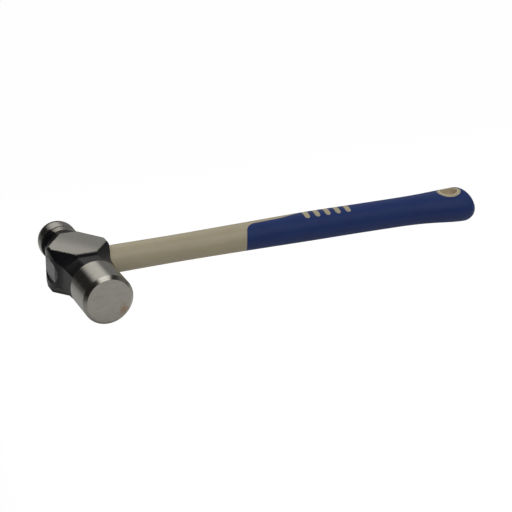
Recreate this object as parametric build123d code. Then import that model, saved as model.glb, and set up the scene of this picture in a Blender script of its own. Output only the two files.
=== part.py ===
"""Ball peen hammer: a forged steel head bonded to a moulded handle with a glass-fibre core.

Millimetres.  The origin is where the handle's axis crosses the head's axis, at the centre of the
eye.  +X runs along the handle to the butt, -Y points to the striking face, +Y to the ball peen,
and +Z out of the upper cheek, so the hammer lies on its side.
"""
from build123d import *
import os
from math import sqrt

# ---- head: bell and striking face ----
FACE_REACH = 67.4            # eye centre to the striking face
BELL_RADIUS = 19.0
BELL_LENGTH = 29.2           # face to the rear shoulder of the turned bell
FACE_BEVEL = 2.5             # radial width of the bevel round the face
FACE_BEVEL_DEPTH = 2.6       # the same bevel, measured along the head
BELL_SHOULDER = 1.6          # rear chamfer of the bell

# ---- head: ball peen ----
PEEN_REACH = 64.7            # eye centre to the tip of the ball
PEEN_RADIUS = 15.5
PEEN_COLLAR = 7.4            # straight turned band behind the ball's widest line
PEEN_BAND_TAPER = 0.2        # how much the radius falls over the band
PEEN_BAND_CHAMFER = 0.6      # radial width of the break between band and cone
PEEN_BAND_CHAMFER_RUN = 0.3  # the same break, measured along the head
PEEN_CONE = 2.8              # length of the turned cone behind that band
PEEN_CONE_DROP = 2.6         # how much the radius falls over band and cone
TURNED_OVERLAP = 1.0         # the forged body runs this far into the turned ends

# ---- head: forged body, eight-sided across the head's axis, with rolled cheek edges ----
CHEEK_HEIGHT = 17.5          # axis to the flat of a cheek
BODY_END = 23.2              # axis to the end of the body, along the handle
CHEEK_REACH = 21.0           # the cheek's flat reaches this far along the handle
CHEEK_TIP = 3.4              # half width of the cheek's flat at its two ends
CHEEK_FRONT = 18.4           # the cheek's flat stops here towards the face
CHEEK_REAR = 22.0            # and here towards the ball
CHEEK_FRONT_HALF = 8.0       # half length of that front edge
CHEEK_REAR_HALF = 6.7        # half length of that rear edge
CHEEK_ROLL_OUT = 0.8         # the cheek's edges are rolled over by this much outwards
CHEEK_ROLL_DOWN = 0.45       # and by this much downwards
NECK_DIP = 1.5               # the front neck first falls this far below the cheek's flat
NECK_DIP_RUN = 4.1           # over this length, and rises again to the bell
NECK_STEP = 0.1              # the necks' corners lie this far inside the turned ends
NECK_SIDE_FLAT = 8.6         # half heights of the necks' side flats and half lengths of their
NECK_CHEEK_FLAT = 7.3        # cheek flats, first at the bell and then at the peen
PEEN_SIDE_FLAT = 5.6
PEEN_CHEEK_FLAT = 5.4
FRONT_FLANK_DROP = 4.25      # the flank lies this far inside BODY_END at the cheek's front edge
FRONT_SIDE_FLAT = 9.35
DIP_FLANK_DROP = 4.95        # this far at the bottom of the dip
DIP_SIDE_FLAT = 9.1
REAR_FLANK_DROP = 6.6        # and this far at the cheek's rear edge
REAR_SIDE_FLAT = 8.5
TIP_SIDE_FLAT = 15.0         # half height of the side flat across the eye
# Flare of the body round the eye, towards the face and towards the ball:
# distance from the eye, flank drop, half height of the side flat.
FRONT_FLARE = ((10.0, 1.5, 10.9), (14.6, 3.1, 9.7))
REAR_FLARE = ((10.0, 1.1, 13.0), (15.5, 2.6, 11.5))

# ---- eye ----
EYE_MOUTH_LONG = 12.8        # half width at the mouths, along the head
EYE_MOUTH_SHORT = 8.8        # half width at the mouths, across the cheeks
EYE_WAIST_IN = 0.9           # how much the eye narrows to its middle
EYE_FAR_FLARE = 0.9          # the mouth away from the handle is wider still by this
RESIN_RECESS = 1.5           # resin surface below the end of the body
RESIN_COVER = 3.2            # resin over the top of the handle
RESIN_FILM = 0.5             # resin between the handle's tongue and the waist of the eye
TOOL_OVERRUN = 2.0           # the piercing tool runs this far past the body at each end
TONGUE_OVERLAP = 8.0         # the tongue runs this far into the handle outside the head

# ---- handle ----
HANDLE_END = 344.0           # eye centre to the butt
GRIP_LENGTH = 210.0          # butt to the straight front edge of the sleeve
GRIP_WALL = 2.2
HANDLE_BURIED = 6.8          # the handle's outside starts this far inside the end of the body
BUTT_ROUND = 8.0
BUTT_WALL_SHARE = 1.4        # the sleeve's wall over the butt, as a multiple of its side wall
CORE_LONG = 6.4              # half axes of the glass-fibre core
CORE_SHORT = 4.8
CORE_TO_BUTT = 87.0          # the core stops this far from the butt, before the handle droops
# Sections of the handle: half width along the head, half height, and droop to the face side.
SHOULDER = (12.6, 10.5, 0.0)
WAIST = (12.4, 10.3, 0.0)
GRIP_FRONT = (13.2, 10.8, 0.1)
GRIP_MIDDLE = (13.9, 11.6, 0.6)
GRIP_REAR = (14.2, 11.6, 2.1)
HEEL_START = (15.4, 11.9, 3.9)
HEEL = (18.6, 13.4, 6.3)
WAIST_FROM_EYE = 78.0
GRIP_MIDDLE_FROM_BUTT = 149.0
GRIP_REAR_FROM_BUTT = 94.0
HEEL_START_FROM_BUTT = 48.0
HEEL_FROM_BUTT = 19.0

# ---- sleeve outline, seen on the cheek side ----
FRONT_LEAN = 5.2             # the front edge leans this far towards the butt at the corner
CORNER_OFFSET = -1.0         # where the corner would be sharp, off the handle's axis
CORNER_ROUND = 12.5
SWEEP_LENGTH = 39.0          # corner to the bend of the long edge
SWEEP_OFFSET = -0.2          # offset of that bend to the ball side of the axis
BEND_ROUND = 60.0
RUN_OUT_LENGTH = 34.0        # bend to where the long edge has left the ball side
RUN_OUT_CLEAR = 3.0          # how far it is past the handle's outside there

# ---- marks on the sleeve ----
MARK_COUNT = 5
MARK_PITCH = 9.3
MARK_WIDTH = 4.4
MARK_LENGTH = 13.2
MARK_SLANT = 8.0             # degrees from square across the handle
MARK_FROM_BUTT = 133.4       # middle of the row

# ---- hang hole ----
HOLE_FROM_BUTT = 18.4
HOLE_LENGTH = 15.4
HOLE_WIDTH = 12.8
RING_WALL = 2.8

GRIP_START = HANDLE_END - GRIP_LENGTH
SECTIONS = [
    (BODY_END - HANDLE_BURIED, SHOULDER),
    (WAIST_FROM_EYE, WAIST),
    (GRIP_START, GRIP_FRONT),
    (HANDLE_END - GRIP_MIDDLE_FROM_BUTT, GRIP_MIDDLE),
    (HANDLE_END - GRIP_REAR_FROM_BUTT, GRIP_REAR),
    (HANDLE_END - HEEL_START_FROM_BUTT, HEEL_START),
    (HANDLE_END - HEEL_FROM_BUTT, HEEL),
]
SECTION_STEPS = 18           # the handle is lofted through this many equal steps
REACH = 400.0                # longer than the hammer: for tools that cut right through
HALF_DEPTH = 50.0            # deeper than the hammer, from its middle plane


def across_head(y, side, side_flat, cheek, cheek_flat):
    """One section across the head's axis, at y: eight flats and a rolled edge on each cheek."""
    roll = (cheek_flat + CHEEK_ROLL_OUT, cheek - CHEEK_ROLL_DOWN)
    quarter = [(cheek_flat, cheek), roll, (side, side_flat)]
    half = quarter + [(x, -z) for x, z in reversed(quarter)]
    corners = half + [(-x, z) for x, z in reversed(half)]
    plane = Plane(origin=(0, y, 0), x_dir=(1, 0, 0), z_dir=(0, -1, 0))
    return plane * make_face(Polyline(*corners, close=True))


def across_handle(x, half_y, half_z, droop=0.0):
    """One oval section across the handle, at x."""
    plane = Plane(origin=(x, -droop, 0), x_dir=(0, 1, 0), z_dir=(1, 0, 0))
    return plane * Ellipse(half_y, half_z)


def cheek_half_at(y):
    """Half length of the cheek's flat at y, along the straight edges of its outline."""
    edge, half = (CHEEK_FRONT, CHEEK_FRONT_HALF) if y < 0 else (CHEEK_REAR, CHEEK_REAR_HALF)
    share = (abs(y) - CHEEK_TIP) / (edge - CHEEK_TIP)
    return CHEEK_REACH + (half - CHEEK_REACH) * share


def neck_section(y, radius, side_flat, cheek_flat):
    """The section inside a turned end: its corners lie just within that end's radius."""
    inner = radius - NECK_STEP
    cheek = sqrt(inner ** 2 - cheek_flat ** 2)
    return across_head(y, sqrt(inner ** 2 - side_flat ** 2), side_flat, cheek, cheek_flat)


def body_sections():
    """The sections of the forged body, from the bell to the peen."""
    bell_rear = -(FACE_REACH - BELL_LENGTH)
    peen_front = PEEN_REACH - PEEN_RADIUS - PEEN_COLLAR - PEEN_CONE
    dip_y = -CHEEK_FRONT - NECK_DIP_RUN
    dip_half = (CHEEK_FRONT_HALF + NECK_CHEEK_FLAT) / 2
    sections = [
        neck_section(bell_rear - TURNED_OVERLAP, BELL_RADIUS, NECK_SIDE_FLAT, NECK_CHEEK_FLAT),
        across_head(dip_y, BODY_END - DIP_FLANK_DROP, DIP_SIDE_FLAT, CHEEK_HEIGHT - NECK_DIP,
                    dip_half),
        across_head(-CHEEK_FRONT, BODY_END - FRONT_FLANK_DROP, FRONT_SIDE_FLAT, CHEEK_HEIGHT,
                    CHEEK_FRONT_HALF),
    ]
    flare = [(-y, drop, flat) for y, drop, flat in reversed(FRONT_FLARE)]
    flare += [(-CHEEK_TIP, 0, TIP_SIDE_FLAT), (CHEEK_TIP, 0, TIP_SIDE_FLAT)] + list(REAR_FLARE)
    flare.append((CHEEK_REAR, REAR_FLANK_DROP, REAR_SIDE_FLAT))
    for y, drop, flat in flare:
        sections.append(across_head(y, BODY_END - drop, flat, CHEEK_HEIGHT, cheek_half_at(y)))
    sections.append(neck_section(peen_front + TURNED_OVERLAP, PEEN_RADIUS - PEEN_CONE_DROP,
                                 PEEN_SIDE_FLAT, PEEN_CHEEK_FLAT))
    return sections


def turned(points_and_arcs):
    """A solid of revolution about the head's axis, from a closed half profile."""
    return revolve(make_face(points_and_arcs), axis=Axis.Y, revolution_arc=360)


def bell():
    """The turned bell: bevelled striking face, cylinder and rear shoulder."""
    face = -FACE_REACH
    rear = face + BELL_LENGTH
    profile = Polyline(
        (0, face), (BELL_RADIUS - FACE_BEVEL, face), (BELL_RADIUS, face + FACE_BEVEL_DEPTH),
        (BELL_RADIUS, rear), (BELL_RADIUS - BELL_SHOULDER, rear + BELL_SHOULDER),
        (0, rear + BELL_SHOULDER), close=True)
    return turned(profile)


def peen():
    """The turned ball peen: half ball, straight band, and cone down to the neck."""
    centre = PEEN_REACH - PEEN_RADIUS
    band = centre - PEEN_COLLAR
    band_radius = PEEN_RADIUS - PEEN_BAND_TAPER
    profile = [
        RadiusArc((0, PEEN_REACH), (PEEN_RADIUS, centre), PEEN_RADIUS),
        Polyline((PEEN_RADIUS, centre), (band_radius, band),
                 (band_radius - PEEN_BAND_CHAMFER, band - PEEN_BAND_CHAMFER_RUN),
                 (PEEN_RADIUS - PEEN_CONE_DROP, band - PEEN_CONE), (0, band - PEEN_CONE),
                 (0, PEEN_REACH)),
    ]
    return turned(profile)


def head_blank():
    """The forged and turned head before the eye is pierced."""
    body = loft(body_sections(), ruled=True)
    return body + bell() + peen()


def eye():
    """The hourglass eye, longer than the body at both ends."""
    past = BODY_END + TOOL_OVERRUN
    sections = [across_handle(x, EYE_MOUTH_LONG - narrow, EYE_MOUTH_SHORT - narrow)
                for x, narrow in ((-past, -EYE_FAR_FLARE), (0, EYE_WAIST_IN), (past, 0))]
    return loft(sections)


def slope(points, index):
    """Slope of the curve through (x, value) points at one of them, for a smooth blend."""
    low, high = max(index - 1, 0), min(index + 1, len(points) - 1)
    return (points[high][1] - points[low][1]) / (points[high][0] - points[low][0])


def blended(points, x):
    """Value at x of the cubic blend through (x, value) points, level beyond the last."""
    if x >= points[-1][0]:
        return points[-1][1]
    index = max(i for i, point in enumerate(points[:-1]) if point[0] <= x or i == 0)
    (x0, v0), (x1, v1) = points[index], points[index + 1]
    span = x1 - x0
    t = (x - x0) / span
    rise = (1 + 2 * t) * (1 - t) ** 2 * v0 + t ** 2 * (3 - 2 * t) * v1
    lean = t * (1 - t) ** 2 * slope(points, index) + t ** 2 * (t - 1) * slope(points, index + 1)
    return rise + lean * span


def handle_size(x):
    """Half width, half height and droop of the handle at x."""
    return tuple(blended([(at, section[part]) for at, section in SECTIONS], x) for part in range(3))


def axis_y(x):
    """The handle's centre line at x."""
    return -handle_size(x)[2]


def handle_outer(inset=0.0):
    """The handle's outside shape from inside the head to the rounded butt, less an inset."""
    end = HANDLE_END - inset * BUTT_WALL_SHARE
    start = SECTIONS[0][0]
    sections = []
    for step in range(SECTION_STEPS + 1):
        x = start + (end - start) * step / SECTION_STEPS
        half_y, half_z, droop = handle_size(x)
        sections.append(across_handle(x, half_y - inset, half_z - inset, droop))
    solid = loft(sections)
    rim = solid.faces().sort_by(Axis.X)[-1].edges()
    return fillet(rim, BUTT_ROUND - inset)


def sleeve_region():
    """Everything the sleeve may cover, as a prism through its outline on the cheek side."""
    corner_x = GRIP_START + FRONT_LEAN
    corner = (corner_x, axis_y(corner_x) + CORNER_OFFSET)
    bend_x = corner_x + SWEEP_LENGTH
    bend = (bend_x, axis_y(bend_x) + SWEEP_OFFSET)
    out = (bend_x + RUN_OUT_LENGTH, GRIP_MIDDLE[0] + RUN_OUT_CLEAR)
    front = (GRIP_START, axis_y(GRIP_START) - GRIP_FRONT[0])
    lean = (front[0] - corner[0]) / (front[1] - corner[1])
    low = -HALF_DEPTH
    start = (front[0] + lean * (low - front[1]), low)
    outline = [FilletPolyline(start, corner, bend, out, radius=[CORNER_ROUND, BEND_ROUND]),
               Polyline(out, (REACH, out[1]), (REACH, low), start)]
    return extrude(make_face(outline), amount=HALF_DEPTH, both=True)


def hole_prism(length, width):
    """An oval prism through the butt at the hang hole."""
    x = HANDLE_END - HOLE_FROM_BUTT
    outline = Pos(x, axis_y(x)) * Ellipse(length / 2, width / 2)
    return extrude(outline, amount=HALF_DEPTH, both=True)


def mark_prisms():
    """The row of slanted round-ended bars that show through the sleeve."""
    bars = []
    middle = HANDLE_END - MARK_FROM_BUTT
    for index in range(MARK_COUNT):
        x = middle + (index - (MARK_COUNT - 1) / 2) * MARK_PITCH
        bar = Pos(x, axis_y(x)) * Rot(0, 0, 90 - MARK_SLANT) * SlotOverall(MARK_LENGTH, MARK_WIDTH)
        bars.append(extrude(bar, amount=HALF_DEPTH, both=True))
    return bars


def core():
    """The pultruded glass-fibre rod, from the top of the tongue to before the droop."""
    start = -BODY_END + RESIN_RECESS + RESIN_COVER
    length = HANDLE_END - CORE_TO_BUTT - start
    return extrude(across_handle(start, CORE_LONG, CORE_SHORT), amount=length)


def tongue():
    """The part of the jacket that passes through the eye."""
    start = -BODY_END + RESIN_RECESS + RESIN_COVER
    narrow = EYE_WAIST_IN + RESIN_FILM
    section = across_handle(start, EYE_MOUTH_LONG - narrow, EYE_MOUTH_SHORT - narrow)
    return extrude(section, amount=BODY_END + TONGUE_OVERLAP - start)


def build():
    """Every sub-part, by the name of its node."""
    blank = head_blank()
    eye_tool = eye()
    head = blank - eye_tool
    outer = handle_outer()
    hole = hole_prism(HOLE_LENGTH, HOLE_WIDTH)
    ring = hole_prism(HOLE_LENGTH + 2 * RING_WALL, HOLE_WIDTH + 2 * RING_WALL)
    sleeve = (outer & sleeve_region()) - handle_outer(GRIP_WALL) - ring
    for bar in mark_prisms():
        sleeve -= bar
    rod = core()
    passing = tongue()
    jacket = (outer - blank - sleeve - hole) + passing - rod
    filled = Box(REACH, REACH, REACH, align=(Align.MIN, Align.CENTER, Align.CENTER))
    filled = Pos(-BODY_END + RESIN_RECESS) * filled
    resin = (eye_tool & blank & filled) - passing - rod
    return {"head": head, "eye_resin": resin, "glass_fibre_core": rod,
            "handle_jacket": jacket, "grip_sleeve": sleeve}


os.makedirs("parts", exist_ok=True)
for name, solid in build().items():
    export_step(solid, f"parts/{name}.step")
    print(name, len(solid.solids()), round(solid.volume / 1000, 2), "cm3")
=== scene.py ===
"""Looks of a ball peen hammer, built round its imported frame.

The forged head is turned bright at the bell and the ball, ground on the cheeks and lacquered black
elsewhere.  The handle is a hard beige moulding over a glass-fibre core, with a soft blue sleeve.
Everything is in metres in the frame's own axes: +X to the butt, -Y to the striking face, +Z up.
"""

import logging
import math
from dataclasses import dataclass, field
from enum import Enum
from typing import Any, Optional, Sequence, Union

import bmesh
import bpy
from mathutils import Matrix, Vector

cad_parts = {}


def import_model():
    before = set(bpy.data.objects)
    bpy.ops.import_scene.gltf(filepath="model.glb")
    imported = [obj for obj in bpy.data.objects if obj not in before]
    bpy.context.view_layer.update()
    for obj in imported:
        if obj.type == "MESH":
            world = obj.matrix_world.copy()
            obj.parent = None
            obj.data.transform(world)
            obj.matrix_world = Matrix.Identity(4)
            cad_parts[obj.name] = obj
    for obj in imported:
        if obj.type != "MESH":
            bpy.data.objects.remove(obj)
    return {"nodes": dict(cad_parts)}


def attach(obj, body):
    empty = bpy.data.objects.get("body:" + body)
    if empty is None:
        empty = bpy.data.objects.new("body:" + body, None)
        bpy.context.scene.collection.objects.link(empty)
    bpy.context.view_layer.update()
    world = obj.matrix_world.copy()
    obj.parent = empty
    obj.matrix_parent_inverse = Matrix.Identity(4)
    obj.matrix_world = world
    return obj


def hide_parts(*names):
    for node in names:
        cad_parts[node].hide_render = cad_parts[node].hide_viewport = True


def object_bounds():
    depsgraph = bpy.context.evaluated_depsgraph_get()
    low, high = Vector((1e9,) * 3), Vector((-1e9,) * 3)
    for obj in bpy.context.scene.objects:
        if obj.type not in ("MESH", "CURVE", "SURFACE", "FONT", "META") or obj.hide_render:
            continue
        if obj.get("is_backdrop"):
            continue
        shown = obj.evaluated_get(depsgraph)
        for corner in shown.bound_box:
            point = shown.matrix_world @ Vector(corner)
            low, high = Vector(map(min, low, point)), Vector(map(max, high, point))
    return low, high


LOG = logging.getLogger("hammer")
MM = 0.001
MERGE_MM = 0.002
FLAT_DEGREES = 0.6
SHARP_DEGREES = 13.0
Number = Union[int, float]
Colour = tuple[float, float, float]


class Value:
    """A shader socket that Python's arithmetic turns into Math nodes."""

    def __init__(self, graph: "Graph", socket: bpy.types.NodeSocket) -> None:
        """Keep the socket and the graph that it belongs to.

        Args:
            graph: The node graph that new Math nodes go into.
            socket: The output socket that carries the value.
        """
        self.graph = graph
        self.socket = socket

    def _math(self, operation: str, *terms: Union["Value", Number]) -> "Value":
        """Add one Math node.

        Args:
            operation: The Math node's operation.
            terms: Its inputs in order, as values or plain numbers.

        Returns:
            The node's result.
        """
        inputs = dict(enumerate(terms))
        return self.graph.node("ShaderNodeMath", {"operation": operation}, inputs).value()

    def __add__(self, other: Union["Value", Number]) -> "Value":
        """Sum of two values."""
        return self._math("ADD", self, other)

    def __radd__(self, other: Number) -> "Value":
        """Sum with a number on the left."""
        return self._math("ADD", other, self)

    def __sub__(self, other: Union["Value", Number]) -> "Value":
        """Difference of two values."""
        return self._math("SUBTRACT", self, other)

    def __rsub__(self, other: Number) -> "Value":
        """Difference from a number on the left."""
        return self._math("SUBTRACT", other, self)

    def __mul__(self, other: Union["Value", Number]) -> "Value":
        """Product of two values."""
        return self._math("MULTIPLY", self, other)

    def __rmul__(self, other: Number) -> "Value":
        """Product with a number on the left."""
        return self._math("MULTIPLY", other, self)

    def __truediv__(self, other: Union["Value", Number]) -> "Value":
        """Quotient of two values."""
        return self._math("DIVIDE", self, other)

    def __pow__(self, other: Union["Value", Number]) -> "Value":
        """Power of a value."""
        return self._math("POWER", self, other)

    def __neg__(self) -> "Value":
        """The value with its sign turned."""
        return self._math("MULTIPLY", self, -1.0)

    def __abs__(self) -> "Value":
        """The value without its sign."""
        return self._math("ABSOLUTE", self)

    def low(self, other: Union["Value", Number]) -> "Value":
        """The lesser of two values."""
        return self._math("MINIMUM", self, other)

    def high(self, other: Union["Value", Number]) -> "Value":
        """The greater of two values."""
        return self._math("MAXIMUM", self, other)

    def step(self, start: Number, end: Number) -> "Value":
        """A smooth step from 0 at start to 1 at end.

        Args:
            start: Where the result leaves 0.
            end: Where the result reaches 1.

        Returns:
            A value from 0 to 1.
        """
        inputs = {"Value": self, "From Min": start, "From Max": end, "To Min": 0.0, "To Max": 1.0}
        settings = {"interpolation_type": "SMOOTHSTEP"}
        return self.graph.node("ShaderNodeMapRange", settings, inputs).value()


class Node:
    """A shader node whose sockets are read by name."""

    def __init__(self, graph: "Graph", node: bpy.types.Node) -> None:
        """Keep the node and its graph.

        Args:
            graph: The graph that holds the node.
            node: The node itself.
        """
        self.graph = graph
        self.node = node

    def value(self, output: Union[str, int] = 0) -> Value:
        """One output as a value for arithmetic."""
        return Value(self.graph, self.node.outputs[output])

    def out(self, output: Union[str, int] = 0) -> bpy.types.NodeSocket:
        """One output as a plain socket, for colours, vectors and shaders."""
        return self.node.outputs[output]


class Graph:
    """A node tree that is filled by one method."""

    def __init__(self, tree: bpy.types.NodeTree) -> None:
        """Empty the tree and keep it."""
        self.tree = tree
        self.tree.nodes.clear()

    def node(self, kind: str, settings: Optional[dict[str, Any]] = None,
             inputs: Optional[dict[Union[str, int], Any]] = None) -> Node:
        """Add a node, set it up, then fill its sockets.

        Args:
            kind: The node's type name.
            settings: Attributes to set first; "stops" gives a ramp's positions and colours.
            inputs: Socket names or numbers, with values, sockets, numbers or tuples.

        Returns:
            The new node.
        """
        made = self.tree.nodes.new(kind)
        for name, setting in (settings or {}).items():
            if name == "stops":
                self._set_stops(made.color_ramp, setting)
            else:
                setattr(made, name, setting)
        for name, entry in (inputs or {}).items():
            socket = made.inputs[name]
            if isinstance(entry, Value):
                self.tree.links.new(entry.socket, socket)
            elif isinstance(entry, bpy.types.NodeSocket):
                self.tree.links.new(entry, socket)
            else:
                socket.default_value = entry
        return Node(self, made)

    @staticmethod
    def _set_stops(ramp: bpy.types.ColorRamp, stops: Sequence[tuple[float, Colour]]) -> None:
        """Give a colour ramp its stops.

        Args:
            ramp: The ramp to set.
            stops: Positions and colours in order.
        """
        while len(ramp.elements) < len(stops):
            ramp.elements.new(1.0)
        for element, (position, colour) in zip(ramp.elements, stops):
            element.position = position
            element.color = (*colour, 1.0)

    def place(self) -> tuple[Value, Value, Value]:
        """The point's own coordinates in millimetres."""
        point = self.node("ShaderNodeTexCoord").out("Object")
        parts = self.node("ShaderNodeSeparateXYZ", None, {0: point})
        x, y, z = (parts.value(axis) / MM for axis in ("X", "Y", "Z"))
        return x, y, z

    def noise(self, parts: Sequence[Union[Value, Number]], detail: float = 2.0,
              roughness: float = 0.5, distortion: float = 0.0) -> Value:
        """Noise over three coordinates, from 0 to 1 about a half.

        Args:
            parts: The three coordinates, already scaled to the noise's own cells.
            detail: Octaves of finer noise.
            roughness: How strong the finer octaves are.
            distortion: How much the noise is bent.

        Returns:
            The noise's value.
        """
        vector = self.node("ShaderNodeCombineXYZ", None, dict(enumerate(parts))).out()
        inputs = {"Vector": vector, "Scale": 1.0, "Detail": detail, "Roughness": roughness,
                  "Distortion": distortion}
        return self.node("ShaderNodeTexNoise", None, inputs).value(0)

    def mix(self, share: Union[Value, Number], first: Any, second: Any) -> bpy.types.NodeSocket:
        """Blend two colours.

        Args:
            share: 0 for the first colour, 1 for the second.
            first: A colour or a colour socket.
            second: A colour or a colour socket.

        Returns:
            The blended colour's socket.
        """
        entries = [(*c, 1.0) if isinstance(c, tuple) else c for c in (first, second)]
        inputs = {"Factor": share, 6: entries[0], 7: entries[1]}
        return self.node("ShaderNodeMix", {"data_type": "RGBA"}, inputs).out(2)

    def scale(self, colour: bpy.types.NodeSocket, share: Value) -> bpy.types.NodeSocket:
        """Darken or brighten a colour by a factor."""
        inputs = {0: colour, "Scale": share}
        return self.node("ShaderNodeVectorMath", {"operation": "SCALE"}, inputs).out()

    def bump(self, height_mm: Value, strength: float = 1.0) -> bpy.types.NodeSocket:
        """A surface normal from a height in millimetres."""
        inputs = {"Height": height_mm * MM, "Distance": 1.0, "Strength": strength}
        return self.node("ShaderNodeBump", None, inputs).out()


class Finish:
    """A material with one main shader."""

    def __init__(self, name: str) -> None:
        """Start an empty node material of that name."""
        self.material = bpy.data.materials.new(name)
        self.material.use_nodes = True
        self.graph = Graph(self.material.node_tree)

    def shade(self, **sockets: Any) -> bpy.types.Material:
        """Add the main shader and the output.

        Args:
            sockets: The shader's sockets, with underscores for spaces in their names.

        Returns:
            The finished material.
        """
        inputs = {name.replace("_", " "): entry for name, entry in sockets.items()}
        shader = self.graph.node("ShaderNodeBsdfPrincipled", None, inputs).out()
        self.graph.node("ShaderNodeOutputMaterial", None, {"Surface": shader})
        return self.material


@dataclass(frozen=True)
class ForgedSteel:
    """Steel that is turned, ground and lacquered in different places on one forging."""

    bare: Colour = (0.30, 0.292, 0.268)
    worn: Colour = (0.20, 0.192, 0.172)
    stain: Colour = (0.20, 0.125, 0.07)
    lacquer: Colour = (0.004, 0.004, 0.005)
    scuffed: Colour = (0.010, 0.010, 0.012)
    face_reach: float = 67.4        # striking face, from the eye
    bell_rear: float = 38.2         # the lacquer stops here before the bell
    peen_front: float = 38.9        # and here before the ball
    peen_overlap: float = 5.0       # on one side it runs this much further over the ball
    collar_end: float = 41.5
    cheek_edge: float = 17.2        # heights of the cheek's worn edge, along which a painted highlight runs, and of its flat
    cheek_flat: float = 17.5
    cheek_end: float = 22.6
    stain_x: float = 11.0
    stain_z: float = -8.5
    stain_depth: float = 0.65
    peen_tone_and_painted_shade: float = -0.14        # how much each area is brighter than the bell; the peen is darker, partly for a duller finish and partly as painted shade
    face_tone: float = 0.22
    # painted highlight: the collar band is brightened to stand for a reflection of the lit room
    collar_painted_highlight: float = 0.9
    rim_highlight_tone: float = 0.9
    cheek_tone: float = 0.08
    cheek_painted_shade: float = 0.46        # painted shade: how much darker the cheek is on its far side
    face_turn: float = 0.24         # direction of the grinding strokes, in radians
    cheek_turn: float = 0.95
    line_height: float = 0.012
    skin_height: float = 0.09
    sheen: float = 0.105

    def material(self) -> bpy.types.Material:
        """Build the head's material."""
        finish = Finish("forged_steel")
        graph = finish.graph
        x, y, z = graph.place()
        ragged = (graph.noise((x * 0.9, y * 0.9, z * 0.9), 3.0) - 0.5) * 0.5
        bell = (-y + ragged).step(self.bell_rear - 0.1, self.bell_rear + 0.2)
        painted_side = (-x - z * 0.35).step(1.0, 4.0) * self.peen_overlap
        peen = (y + ragged - painted_side).step(self.peen_front - 0.1, self.peen_front + 0.2)
        # The collar band carries a painted highlight and a rougher finish.
        collar = peen * (1.0 - y.step(self.collar_end - 0.2, self.collar_end + 0.3))
        cheek = (abs(z) + ragged * 0.3).step(self.cheek_edge - 0.1, self.cheek_edge + 0.1)
        cheek = cheek * (1.0 - abs(y).step(self.cheek_end, self.cheek_end + 0.3))
        # Painted highlight: a bright band along the worn edge just under the cheek's flat.
        rim_highlight = cheek * (1.0 - abs(z).step(self.cheek_flat - 0.12, self.cheek_flat - 0.01))
        turned = bell.high(peen)
        bright = turned.high(cheek)
        face = (-y).step(self.face_reach - 0.12, self.face_reach - 0.03)
        rings = graph.noise((y * 1.7, x * 0.05, z * 0.05), 4.0, 0.6)
        strokes = self._strokes(graph, x, z, self.face_turn)
        ground = self._strokes(graph, x, y, self.cheek_turn)
        lines = rings + (strokes - rings) * face
        lines = lines + (ground - lines) * cheek
        smudge = graph.noise((x * 0.12, y * 0.12, z * 0.12), 4.0, 0.6, 0.8)
        spot = ((x - self.stain_x) ** 2.0 + (z - self.stain_z) ** 2.0 * 0.6) ** 0.5
        rust = (1.0 - (spot + (smudge - 0.5) * 5.0).step(0.5, 5.5)) * face
        tone = (lines - 0.5) * 1.8 + (smudge - 0.5) * 0.8 + 0.5
        steel = graph.mix(tone.low(1.0).high(0.0), self.worn, self.bare)
        steel = graph.mix(rust * self.stain_depth, steel, self.stain)
        # The peen's darkening is partly a duller finish and partly painted shade.
        shade = 1.0 + peen * self.peen_tone_and_painted_shade + face * self.face_tone
        shade = shade + collar * self.collar_painted_highlight + rim_highlight * self.rim_highlight_tone
        # Painted shade: the cheek darkens towards its far side.
        far_side_shade = (x + y * 0.8).step(-14.0, 8.0)
        shade = shade + cheek * (self.cheek_tone - far_side_shade * self.cheek_painted_shade)
        steel = graph.scale(steel, shade)
        scale = graph.noise((x * 0.5, y * 0.5, z * 0.5), 5.0, 0.7)
        paint_tone = graph.mix(scale.step(0.35, 0.75), self.lacquer, self.scuffed)
        colour = graph.mix(bright, paint_tone, steel)
        bare_rough = 0.2 + (lines - 0.5) * 0.14 + (smudge - 0.5) * 0.12 + face * 0.1 + cheek * 0.1
        bare_rough = bare_rough + collar * 0.2 + rim_highlight * 0.2
        paint_rough = 0.30 + (scale - 0.5) * 0.2
        rough = paint_rough + (bare_rough - paint_rough) * bright
        skin = (scale - 0.5) * self.skin_height * (1.0 - bright)
        height = (lines - 0.5) * self.line_height * bright + skin
        return finish.shade(Base_Color=colour, Metallic=bright, Roughness=rough.high(0.08),
                            Specular_IOR_Level=self.sheen, Normal=graph.bump(height))

    @staticmethod
    def _strokes(graph: Graph, across: Value, along: Value, turn: float) -> Value:
        """Straight grinding strokes on a flat.

        Args:
            graph: The graph to add to.
            across: First coordinate in the flat, in millimetres.
            along: Second coordinate in the flat.
            turn: Angle of the strokes from the first coordinate, in radians.

        Returns:
            A value about a half that varies fast across the strokes.
        """
        length = across * math.cos(turn) + along * math.sin(turn)
        width = along * math.cos(turn) - across * math.sin(turn)
        return graph.noise((length * 0.07, width * 1.5, 0.0), 4.0, 0.65)


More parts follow.
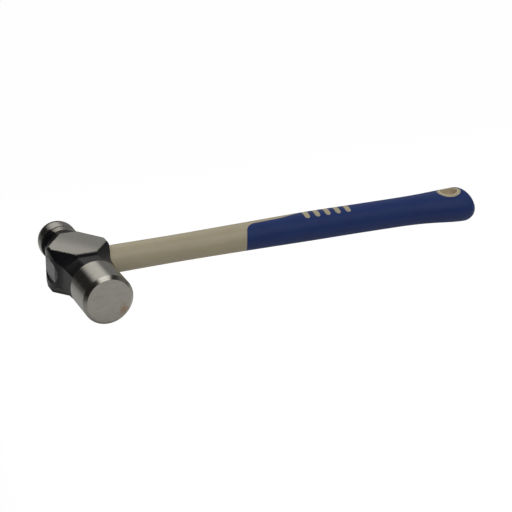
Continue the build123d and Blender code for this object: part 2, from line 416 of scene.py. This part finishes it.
@dataclass(frozen=True)
class MouldedPlastic:
    """Hard beige moulding with a fine satin grain, faint flow lines and painted light inside the
    hang hole.
    """

    light: Colour = (0.34, 0.30, 0.205)
    dark: Colour = (0.27, 0.235, 0.155)
    hole_painted_light: Colour = (0.62, 0.53, 0.39)
    hole_x: float = 325.6           # middle of the hang hole
    hole_y: float = -6.3
    hole_reach: float = 7.9         # its half length
    hole_stretch: float = 1.2       # its length against its width

    def material(self) -> bpy.types.Material:
        """Build the jacket's material."""
        finish = Finish("hard_jacket")
        graph = finish.graph
        x, y, z = graph.place()
        grain = graph.noise((x * 3.0, y * 3.0, z * 3.0), 4.0, 0.6)
        flow = graph.noise((x * 0.015, y * 0.5, z * 0.5), 4.0, 0.6, 0.4)
        handling = graph.noise((x * 0.06, y * 0.06, z * 0.06), 4.0, 0.6)
        tone = 0.5 + (flow - 0.5) * 0.9 + (handling - 0.5) * 0.7 + (grain - 0.5) * 0.3
        colour = graph.mix(tone.high(0.0).low(1.0), self.dark, self.light)
        # Painted light: the inside of the hang hole is coloured pale to stand for light reaching
        # it.
        away = ((x - self.hole_x) ** 2.0 + ((y - self.hole_y) * self.hole_stretch) ** 2.0) ** 0.5
        lit_hole = 1.0 - away.step(self.hole_reach, self.hole_reach + 0.3)
        colour = graph.mix(lit_hole, colour, self.hole_painted_light)
        rough = 0.46 + (grain - 0.5) * 0.12 + (handling - 0.5) * 0.15
        height = (grain - 0.5) * 0.03 + (flow - 0.5) * 0.02
        return finish.shade(Base_Color=colour, Roughness=rough, Normal=graph.bump(height))


@dataclass(frozen=True)
class SoftGrip:
    """Soft dark blue rubber with a fine matte grain."""

    light: Colour = (0.010, 0.027, 0.120)
    dark: Colour = (0.005, 0.017, 0.086)
    sheen: float = 0.22

    def material(self) -> bpy.types.Material:
        """Build the sleeve's material."""
        finish = Finish("soft_grip")
        graph = finish.graph
        x, y, z = graph.place()
        grain = graph.noise((x * 4.0, y * 4.0, z * 4.0), 3.0, 0.6)
        patches = graph.noise((x * 0.05, y * 0.09, z * 0.09), 4.0, 0.6, 0.5)
        tone = 0.5 + (patches - 0.5) * 1.1 + (grain - 0.5) * 0.3
        colour = graph.mix(tone.high(0.0).low(1.0), self.dark, self.light)
        rough = 0.52 + (patches - 0.5) * 0.16 + (grain - 0.5) * 0.1
        return finish.shade(Base_Color=colour, Roughness=rough, Specular_IOR_Level=self.sheen,
                            Normal=graph.bump((grain - 0.5) * 0.035))


@dataclass(frozen=True)
class CastResin:
    """Grey-blue bonding resin with slight ripples and dust."""

    light: Colour = (0.066, 0.071, 0.078)
    dark: Colour = (0.042, 0.046, 0.052)
    sheen: float = 0.3

    def material(self) -> bpy.types.Material:
        """Build the resin's material."""
        finish = Finish("bonding_resin")
        graph = finish.graph
        x, y, z = graph.place()
        swirl = graph.noise((x * 0.3, y * 0.3, z * 0.3), 2.0, 0.5, 1.2)
        colour = graph.mix(swirl.step(0.3, 0.7), self.dark, self.light)
        rough = 0.28 + (swirl - 0.5) * 0.2
        return finish.shade(Base_Color=colour, Roughness=rough, Specular_IOR_Level=self.sheen,
                            Normal=graph.bump((swirl - 0.5) * 0.06))


@dataclass(frozen=True)
class GlassFibre:
    """Pultruded rod: amber resin over fibres that run lengthwise."""

    amber: Colour = (0.52, 0.42, 0.20)
    fibre: Colour = (0.72, 0.68, 0.52)

    def material(self) -> bpy.types.Material:
        """Build the core's material."""
        finish = Finish("glass_fibre")
        graph = finish.graph
        x, y, z = graph.place()
        strands = graph.noise((x * 0.02, y * 4.0, z * 4.0), 5.0, 0.7)
        colour = graph.mix(strands.step(0.35, 0.65), self.amber, self.fibre)
        rough = 0.22 + (strands - 0.5) * 0.2
        return finish.shade(Base_Color=colour, Roughness=rough,
                            Normal=graph.bump((strands - 0.5) * 0.03))


class Slot(Enum):
    """The material slots, with the finish that dresses each."""

    STEEL = "forged_steel"
    RESIN = "bonding_resin"
    FIBRE = "glass_fibre"
    JACKET = "hard_jacket"
    GRIP = "soft_grip"


class Workshop:
    """Finishes by slot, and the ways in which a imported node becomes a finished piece."""

    def __init__(self, nodes: dict[str, bpy.types.Object]) -> None:
        """Make every finish once.

        Args:
            nodes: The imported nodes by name.
        """
        self.nodes = nodes
        self.finishes = {
            Slot.STEEL: ForgedSteel().material(),
            Slot.RESIN: CastResin().material(),
            Slot.FIBRE: GlassFibre().material(),
            Slot.JACKET: MouldedPlastic().material(),
            Slot.GRIP: SoftGrip().material(),
        }

    def dress(self, piece: bpy.types.Object, slot: Slot) -> None:
        """Give a piece one finish all over."""
        piece.data.materials.clear()
        piece.data.materials.append(self.finishes[slot])

    def refine(self, node: str, slot: Slot, edge_mm: float, sharp_degrees: float = SHARP_DEGREES
               ) -> bpy.types.Object:
        """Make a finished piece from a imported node: merged, softened at its edges and smooth.

        Args:
            node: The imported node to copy.
            slot: The finish that the piece takes.
            edge_mm: Width of the rounding at sharp edges.
            sharp_degrees: Edges that turn by more than this are rounded.

        Returns:
            The finished piece, which stands for the node.
        """
        mesh = self.nodes[node].data.copy()
        form = bmesh.new()
        form.from_mesh(mesh)
        bmesh.ops.remove_doubles(form, verts=form.verts, dist=MERGE_MM * MM)
        bmesh.ops.dissolve_limit(form, angle_limit=math.radians(FLAT_DEGREES), verts=form.verts,
                                 edges=form.edges, delimit=set())
        limit = math.radians(sharp_degrees)
        sharp = [e for e in form.edges if e.is_manifold and e.calc_face_angle() > limit]
        if edge_mm:
            bmesh.ops.bevel(form, geom=sharp, offset=edge_mm * MM, offset_type="OFFSET",
                            affect="EDGES", segments=3, profile=0.5, material=-1,
                            clamp_overlap=True)
        for face in form.faces:
            face.smooth = True
        for edge in form.edges:
            edge.smooth = not edge.is_manifold or edge.calc_face_angle() < limit
        form.to_mesh(mesh)
        form.free()
        piece = bpy.data.objects.new(f"{node}_finished", mesh)
        bpy.context.scene.collection.objects.link(piece)
        weighted = piece.modifiers.new("even_shading", "WEIGHTED_NORMAL")
        weighted.keep_sharp = True
        self.dress(piece, slot)
        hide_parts(node)
        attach(piece, "root")
        LOG.info("%s: %d faces", piece.name, len(mesh.polygons))
        return piece


@dataclass
class Head:
    """The forged head and the resin in its eye."""

    workshop: Workshop
    edge_mm: float = 0.45

    def build(self) -> None:
        """Make both pieces."""
        self.workshop.refine("head", Slot.STEEL, self.edge_mm)
        self.workshop.refine("eye_resin", Slot.RESIN, 0.0)


@dataclass
class Handle:
    """The core, the hard jacket over it and the soft sleeve."""

    workshop: Workshop
    jacket_edge_mm: float = 0.15
    sleeve_edge_mm: float = 0.2

    def build(self) -> None:
        """Make the two visible mouldings and dress the hidden core."""
        self.workshop.refine("handle_jacket", Slot.JACKET, self.jacket_edge_mm)
        self.workshop.refine("grip_sleeve", Slot.GRIP, self.sleeve_edge_mm)
        self.workshop.dress(self.workshop.nodes["glass_fibre_core"], Slot.FIBRE)


@dataclass(frozen=True)
class SoftBox:
    """A round bright patch of the room, with soft edges."""

    bearing: float      # degrees from +Y towards +X
    height: float       # degrees above the floor
    radius: float       # degrees to the middle of its edge
    blur: float         # degrees that its edge takes
    glow: float         # brightness, where the floor's is 1

    def over(self, x: Value, y: Value, z: Value) -> Value:
        """Its light in a direction.

        Args:
            x: First part of the unit direction.
            y: Second part.
            z: Third part.

        Returns:
            The patch's brightness there.
        """
        turn, rise = math.radians(self.bearing), math.radians(self.height)
        facing = (x * (math.sin(turn) * math.cos(rise)) + y * (math.cos(turn) * math.cos(rise))
                  + z * math.sin(rise))
        edges = [math.cos(math.radians(self.radius + part * self.blur / 2)) for part in (1, -1)]
        return facing.step(*edges) * self.glow


@dataclass
class Studio:
    """Pale floor, soft lights and the camera."""

    floor_size: float = 40.0
    floor_colour: Colour = (0.22, 0.22, 0.218)
    floor_glow: float = 0.97
    fade_mm: tuple[float, float] = (25.0, 230.0)
    fade_left: float = 1.5
    fade_front: float = 0.3
    # painted falloff of light: the paper's colour darkens from near to far
    near_paper: Colour = (0.54, 0.54, 0.53)
    far_paper_painted_shade: Colour = (0.13, 0.13, 0.13)
    near_light: Colour = (0.22, 0.216, 0.21)
    far_light: Colour = (0.07, 0.07, 0.07)
    dim: float = 0.05
    side_glow: float = 0.30
    boxes: tuple[SoftBox, ...] = (SoftBox(3.0, 35.0, 15.5, 20.0, 1.42),
                                  SoftBox(172.0, 60.0, 18.0, 15.0, 2.6))
    room_colour: Colour = (1.0, 0.985, 0.95)
    lamp_strength: float = 1.95
    lamp_spread: float = 100.0
    lamp_tilt: float = -4.0
    aim: Vector = field(default_factory=lambda: Vector((0.150, 0.0, 0.0)))
    azimuth: float = -26.67
    elevation: float = 23.18
    roll: float = 1.58
    distance: float = 1.05
    lens: float = 92.63
    shift: tuple[float, float] = (-0.0040, -0.0424)

    def build(self, lowest: float) -> None:
        """Set up floor, room, lamp and camera.

        Args:
            lowest: Height of the surface that the hammer lies on.
        """
        self._floor(lowest)
        self._room()
        self._lamp()
        self._camera()
        scene = bpy.context.scene
        scene.view_settings.view_transform = "Standard"
        scene.view_settings.look = "None"

    def _floor(self, lowest: float) -> None:
        """Lay the white sheet that is seen, and the one that lights and is reflected."""
        seen = self._sheet("studio_floor", lowest)
        finish = Finish("studio_floor")
        seen.data.materials.append(finish.shade(
            Base_Color=(*self.floor_colour, 1.0), Roughness=0.9, Specular_IOR_Level=0.0,
            Emission_Color=(1.0, 1.0, 1.0, 1.0), Emission_Strength=self.floor_glow))
        seen.visible_glossy = False
        seen.visible_diffuse = False
        seen.visible_shadow = False
        bounce = self._sheet("bounce_floor", lowest)
        bounce.data.materials.append(self._bounce())
        bounce.visible_camera = False

    def _sheet(self, name: str, lowest: float) -> bpy.types.Object:
        """Make one wide level sheet under the hammer.

        Args:
            name: Name of the sheet.
            lowest: Height of the sheet.

        Returns:
            The sheet, which is part of the studio and not of the hammer.
        """
        mesh = bpy.data.meshes.new(name)
        form = bmesh.new()
        bmesh.ops.create_grid(form, x_segments=1, y_segments=1, size=self.floor_size / 2)
        bmesh.ops.translate(form, verts=form.verts, vec=(0.0, 0.0, lowest))
        form.to_mesh(mesh)
        form.free()
        sheet = bpy.data.objects.new(name, mesh)
        bpy.context.scene.collection.objects.link(sheet)
        sheet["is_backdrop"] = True
        return sheet

    def _bounce(self) -> bpy.types.Material:
        """Pale paper round the hammer, with painted falloff of light: its colour and glow darken
        to the left and behind it.
        """
        finish = Finish("bounce_floor")
        x, y, _ = finish.graph.place()
        side = x.low(0.0) * self.fade_left
        depth = y.high(y * -self.fade_front)
        distance = (side * side + depth * depth) ** 0.5
        near = 1.0 - distance.step(*self.fade_mm)
        paper = finish.graph.mix(near, self.far_paper_painted_shade, self.near_paper)
        glow = finish.graph.mix(near, self.far_light, self.near_light)
        return finish.shade(Base_Color=paper, Roughness=0.9, Specular_IOR_Level=0.0,
                            Emission_Color=glow, Emission_Strength=1.0)

    def _room(self) -> None:
        """A dim room, paler to the right, with two soft boxes."""
        world = bpy.data.worlds.new("studio")
        bpy.context.scene.world = world
        world.use_nodes = True
        graph = Graph(world.node_tree)
        direction = graph.node("ShaderNodeTexCoord").out("Generated")
        parts = graph.node("ShaderNodeSeparateXYZ", None, {0: direction})
        x, y, z = (parts.value(axis) for axis in ("X", "Y", "Z"))
        room = x.step(-0.1, 0.45) * (1.0 - z.step(0.45, 0.75)) * self.side_glow + self.dim
        for box in self.boxes:
            room = room + box.over(x, y, z)
        background = graph.node("ShaderNodeBackground", None,
                                {"Color": (*self.room_colour, 1.0), "Strength": room}).out()
        graph.node("ShaderNodeOutputWorld", None, {"Surface": background})

    def _lamp(self) -> None:
        """A broad lamp overhead that lights matt surfaces and shows in no reflection."""
        data = bpy.data.lights.new("overhead", "SUN")
        data.angle = math.radians(self.lamp_spread)
        data.energy = self.lamp_strength
        lamp = bpy.data.objects.new("overhead", data)
        lamp.rotation_euler = (math.radians(self.lamp_tilt), 0.0, 0.0)
        lamp.visible_glossy = False
        bpy.context.scene.collection.objects.link(lamp)

    def _camera(self) -> None:
        """The camera, aimed at the middle of the hammer."""
        turn, rise, roll = (math.radians(a) for a in (self.azimuth, self.elevation, self.roll))
        back = Vector((math.sin(turn) * math.cos(rise), -math.cos(turn) * math.cos(rise),
                       math.sin(rise)))
        level = Vector((math.cos(turn), math.sin(turn), 0.0))
        upright = back.cross(level)
        right = level * math.cos(roll) + upright * math.sin(roll)
        up = upright * math.cos(roll) - level * math.sin(roll)
        data = bpy.data.cameras.new("camera")
        data.sensor_width = 36.0
        data.lens = self.lens
        data.shift_x, data.shift_y = self.shift
        camera = bpy.data.objects.new("camera", data)
        place = Matrix((right, up, back)).transposed().to_4x4()
        place.translation = self.aim + back * self.distance
        camera.matrix_world = place
        bpy.context.scene.collection.objects.link(camera)
        bpy.context.scene.camera = camera


def plain(box: Sequence[Sequence[float]]) -> list[list[float]]:
    """A box's two corners as plain lists."""
    return [[round(float(part), 6) for part in corner] for corner in box]


def main() -> None:
    """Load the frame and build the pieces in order."""
    logging.basicConfig(level=logging.INFO, format="%(name)s: %(message)s")
    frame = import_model()
    cad_box = plain(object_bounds())
    workshop = Workshop(frame["nodes"])
    Head(workshop).build()
    Handle(workshop).build()
    Studio().build(cad_box[0][2])


if __name__ == "__main__":
    main()
